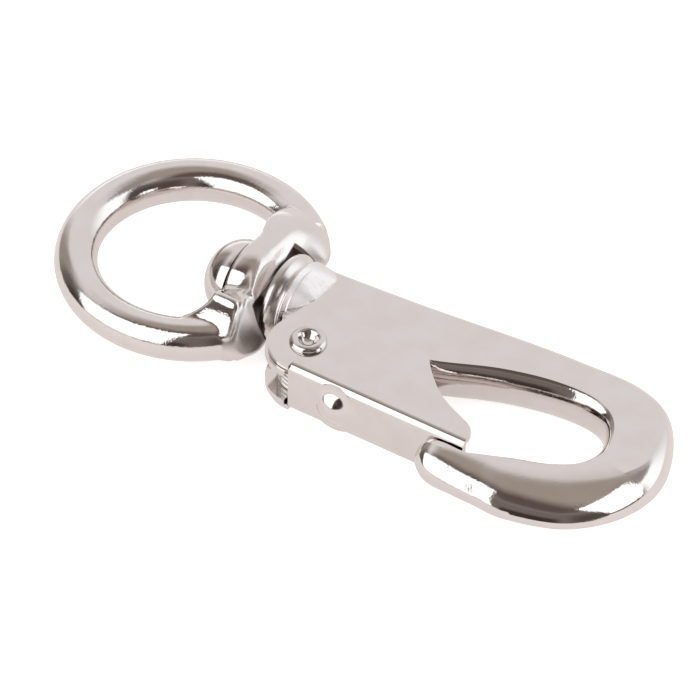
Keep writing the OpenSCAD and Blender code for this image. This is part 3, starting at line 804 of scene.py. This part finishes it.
class Sky:
    """The studio that the metal mirrors, painted in soft-edged patches by compass and height, in degrees.

    compass is 0 towards +X and 90 towards +Y, counter is the same seen from the other side.
    """

    def __init__(self, tree):
        self.nodes, self.links = tree.nodes, tree.links
        coord = self.nodes.new("ShaderNodeTexCoord")
        split = self.nodes.new("ShaderNodeSeparateXYZ")
        self.links.new(coord.outputs["Generated"], split.inputs[0])
        x, y, z = split.outputs
        self.y = y
        self.height = self.math("MULTIPLY", self.math("ARCSINE", z), DEGREES)
        self.compass = self.math("MULTIPLY", self.math("ARCTAN2", y, x), DEGREES)
        back = self.math("ARCTAN2", self.math("MULTIPLY", y, -1), self.math("MULTIPLY", x, -1))
        self.counter = self.math("MULTIPLY", back, DEGREES)
        self.colour = None

    def math(self, kind, a, b=None):
        node = self.nodes.new("ShaderNodeMath")
        node.operation = kind
        for i, v in enumerate((a, b)):
            if v is None:
                continue
            if isinstance(v, (int, float)):
                node.inputs[i].default_value = v
            else:
                self.links.new(v, node.inputs[i])
        return node.outputs[0]

    def step(self, value, at, soft):
        node = self.nodes.new("ShaderNodeMapRange")
        node.interpolation_type = "SMOOTHSTEP"
        node.inputs["From Min"].default_value = at - soft
        node.inputs["From Max"].default_value = at + soft
        self.links.new(value, node.inputs["Value"])
        return node.outputs["Result"]

    def band(self, value, low, high, soft_low, soft_high):
        up = self.step(value, low, soft_low)
        down = self.step(value, high, soft_high)
        return self.math("MULTIPLY", up, self.math("SUBTRACT", 1, down))

    def base(self, colour):
        node = self.nodes.new("ShaderNodeRGB")
        node.outputs[0].default_value = colour
        self.colour = node.outputs[0]

    def paint(self, mask, colour, share=1.0):
        node = self.nodes.new("ShaderNodeMix")
        node.data_type = "RGBA"
        node.inputs[7].default_value = colour
        self.links.new(self.colour, node.inputs[6])
        self.links.new(mask if share == 1 else self.math("MULTIPLY", mask, share), node.inputs[0])
        self.colour = node.outputs[2]


def make_surroundings():
    """White for the camera, even and soft on what is matt, and the painted studio in what is mirrored."""
    world = bpy.data.worlds.new("studio")
    bpy.context.scene.world = world
    world.use_nodes = True
    tree = world.node_tree
    for node in list(tree.nodes):
        tree.nodes.remove(node)
    sky = Sky(tree)
    h, c, k = sky.height, sky.compass, sky.counter

    def area(way, from_way, to_way, soft_way, heights, soft_heights):
        across = sky.band(way, from_way, to_way, *soft_way)
        return sky.math("MULTIPLY", across, sky.band(h, *heights, *soft_heights))

    south = sky.math("MULTIPLY", sky.y, -1)
    sky.base(seen(214, 206, 204))
    sky.paint(sky.math("SUBTRACT", 1, sky.step(h, -8, 6)), seen(206, 198, 193))
    # overhead: brown, darker towards the near side
    sky.paint(sky.step(h, 60, 12), seen(152, 140, 131))
    near_overhead = sky.math("MULTIPLY", sky.step(south, 0.12, 0.16), sky.step(h, 50, 10))
    sky.paint(near_overhead, seen(88, 75, 71))
    sky.paint(area(c, 14, 62, (8, 12), (48, 68), (4, 10)), seen(124, 112, 112), 0.8)
    # the near side: a dark room, with two darker corners
    sky.paint(area(c, -150, 18, (8, 5), (3, 56), (5, 10)), seen(108, 96, 91))
    sky.paint(area(c, -98, -62, (4, 7), (0, 24), (5, 9)), seen(58, 46, 44))
    sky.paint(area(c, -46, 15, (10, 4), (5, 42), (5, 12)), seen(78, 66, 63))
    # the right: a white light box
    sky.paint(area(c, 22, 60, (3, 16), (3, 46), (4, 3)), seen(255, 255, 255))
    # the left, past the panel: brown, darkest low down
    sky.paint(area(k, -26, 34, (10, 4), (-12, 42), (6, 10)), seen(146, 135, 128))
    sky.paint(area(k, -2, 34, (8, 4), (-9, 32), (6, 10)), seen(96, 87, 83))
    sky.paint(area(k, 13, 32, (5, 3), (-5, 17), (4, 7)), seen(66, 57, 54))
    # the far side: light, below
    sky.paint(area(c, 112, 146, (7, 7), (-48, 10), (10, 8)), seen(250, 247, 246))

    path = tree.nodes.new("ShaderNodeLightPath")
    mirror = tree.nodes.new("ShaderNodeBackground")
    tree.links.new(sky.colour, mirror.inputs["Color"])
    soft = tree.nodes.new("ShaderNodeBackground")
    soft.inputs["Color"].default_value = (0.62, 0.61, 0.6, 1)
    white = tree.nodes.new("ShaderNodeBackground")
    white.inputs["Color"].default_value = (1, 1, 1, 1)
    glossy = tree.nodes.new("ShaderNodeMixShader")
    tree.links.new(path.outputs["Is Glossy Ray"], glossy.inputs[0])
    tree.links.new(soft.outputs[0], glossy.inputs[1])
    tree.links.new(mirror.outputs[0], glossy.inputs[2])
    camera = tree.nodes.new("ShaderNodeMixShader")
    tree.links.new(path.outputs["Is Camera Ray"], camera.inputs[0])
    tree.links.new(glossy.outputs[0], camera.inputs[1])
    tree.links.new(white.outputs[0], camera.inputs[2])
    out = tree.nodes.new("ShaderNodeOutputWorld")
    tree.links.new(camera.outputs[0], out.inputs["Surface"])


def make_table():
    """A white table under the collar and the bow, on which the hook lies."""
    low = mm(15.0, 0, -6.34)
    far = mm(72.0, 0, -3.04)
    tilt = math.atan2(far.z - low.z, far.x - low.x)
    nothing_selected()
    bpy.ops.mesh.primitive_circle_add(vertices=128, radius=1.6, fill_type="NGON")
    table = named("table")
    table.data.transform(Matrix.Translation(low) @ Matrix.Rotation(-tilt, 4, "Y"))
    mat = bpy.data.materials.new("white table")
    mat.use_nodes = True
    nodes, links = mat.node_tree.nodes, mat.node_tree.links
    shader = nodes["Principled BSDF"]
    shader.inputs["Base Color"].default_value = (0.8, 0.8, 0.8, 1)
    shader.inputs["Roughness"].default_value = 0.9
    shader.inputs["Specular IOR Level"].default_value = 0.1
    out = nodes["Material Output"]
    path = nodes.new("ShaderNodeLightPath")
    glow = nodes.new("ShaderNodeEmission")
    glow.inputs["Color"].default_value = (1, 1, 1, 1)
    glow.inputs["Strength"].default_value = 0.62
    lit = nodes.new("ShaderNodeAddShader")
    links.new(shader.outputs[0], lit.inputs[0])
    links.new(glow.outputs[0], lit.inputs[1])
    sheen = nodes.new("ShaderNodeEmission")
    sheen.inputs["Color"].default_value = (0.87, 0.795, 0.775, 1)
    mirrored = nodes.new("ShaderNodeMixShader")
    mirrored.inputs[0].default_value = 0.72
    links.new(shader.outputs[0], mirrored.inputs[1])
    links.new(sheen.outputs[0], mirrored.inputs[2])
    in_metal = nodes.new("ShaderNodeMixShader")
    links.new(path.outputs["Is Glossy Ray"], in_metal.inputs[0])
    links.new(shader.outputs[0], in_metal.inputs[1])
    links.new(mirrored.outputs[0], in_metal.inputs[2])
    shown = nodes.new("ShaderNodeMixShader")
    links.new(path.outputs["Is Camera Ray"], shown.inputs[0])
    links.new(in_metal.outputs[0], shown.inputs[1])
    links.new(lit.outputs[0], shown.inputs[2])
    links.new(shown.outputs[0], out.inputs["Surface"])
    table.data.materials.append(mat)
    return table


def make_lamps():
    """A white panel leans over the left of the table, a small window stands close by the bow, and two large
    soft windows, which the metal doesn't mirror, stand further off."""
    low_y, low_z, high_y, high_z = -117, 7.5, -45, 94
    corners = [(-138, low_y, low_z), (22, low_y, low_z), (26, high_y, high_z), (-138, high_y, high_z)]
    nothing_selected()
    bpy.ops.mesh.primitive_plane_add(size=MM)
    panel = named("left_panel")
    mesh = bmesh.new()
    mesh.faces.new([mesh.verts.new(mm(*corner)) for corner in corners])
    mesh.to_mesh(panel.data)
    mesh.free()
    paper = bpy.data.materials.new("lit paper")
    paper.use_nodes = True
    nodes = paper.node_tree.nodes
    glow = nodes.new("ShaderNodeEmission")
    glow.inputs["Strength"].default_value = PANEL_GLOW
    paper.node_tree.links.new(glow.outputs[0], nodes["Material Output"].inputs["Surface"])
    panel.data.materials.append(paper)
    panel.visible_camera = False
    panel.visible_shadow = False

    window = bpy.data.lights.new("bow window", "AREA")
    window.shape = "RECTANGLE"
    window.size = WINDOW_W
    window.size_y = WINDOW_H
    window.energy = WINDOW_POWER
    lamp = bpy.data.objects.new("bow window", window)
    bpy.context.collection.objects.link(lamp)
    away = mm(22.5, 0, 19.7)
    lamp.location = mm(69, -10, 2) + away
    lamp.rotation_euler = away.to_track_quat("Z", "Y").to_euler()
    lamp.visible_camera = False
    soft_windows = (("high window", -110, 50, 0.9, 8), ("right window", 42, 26, 0.7, 7))
    for name, compass, height, size, power in soft_windows:
        light = bpy.data.lights.new(name, "AREA")
        light.shape = "SQUARE"
        light.size = size
        light.energy = power
        lamp = bpy.data.objects.new(name, light)
        bpy.context.collection.objects.link(lamp)
        a, e = math.radians(compass), math.radians(height)
        way = Vector((math.cos(e) * math.cos(a), math.cos(e) * math.sin(a), math.sin(e)))
        lamp.location = way * 1.2 + mm(30, 0, 0)
        lamp.rotation_euler = way.to_track_quat("Z", "Y").to_euler()
        lamp.visible_glossy = False
        lamp.visible_camera = False


def make_camera():
    data = bpy.data.cameras.new("camera")
    data.lens = 275.11
    data.sensor_width = 36
    data.clip_start = 0.05
    data.clip_end = 20
    camera = bpy.data.objects.new("camera", data)
    bpy.context.collection.objects.link(camera)
    camera.location = (0.28249, -0.42818, 0.4763)
    camera.rotation_euler = Euler([math.radians(a) for a in (46.1442, -0.8293, 31.8967)], "XYZ")
    bpy.context.scene.camera = camera


make_surroundings()
make_table()
make_lamps()
make_camera()
bpy.context.scene.view_settings.view_transform = "Standard"
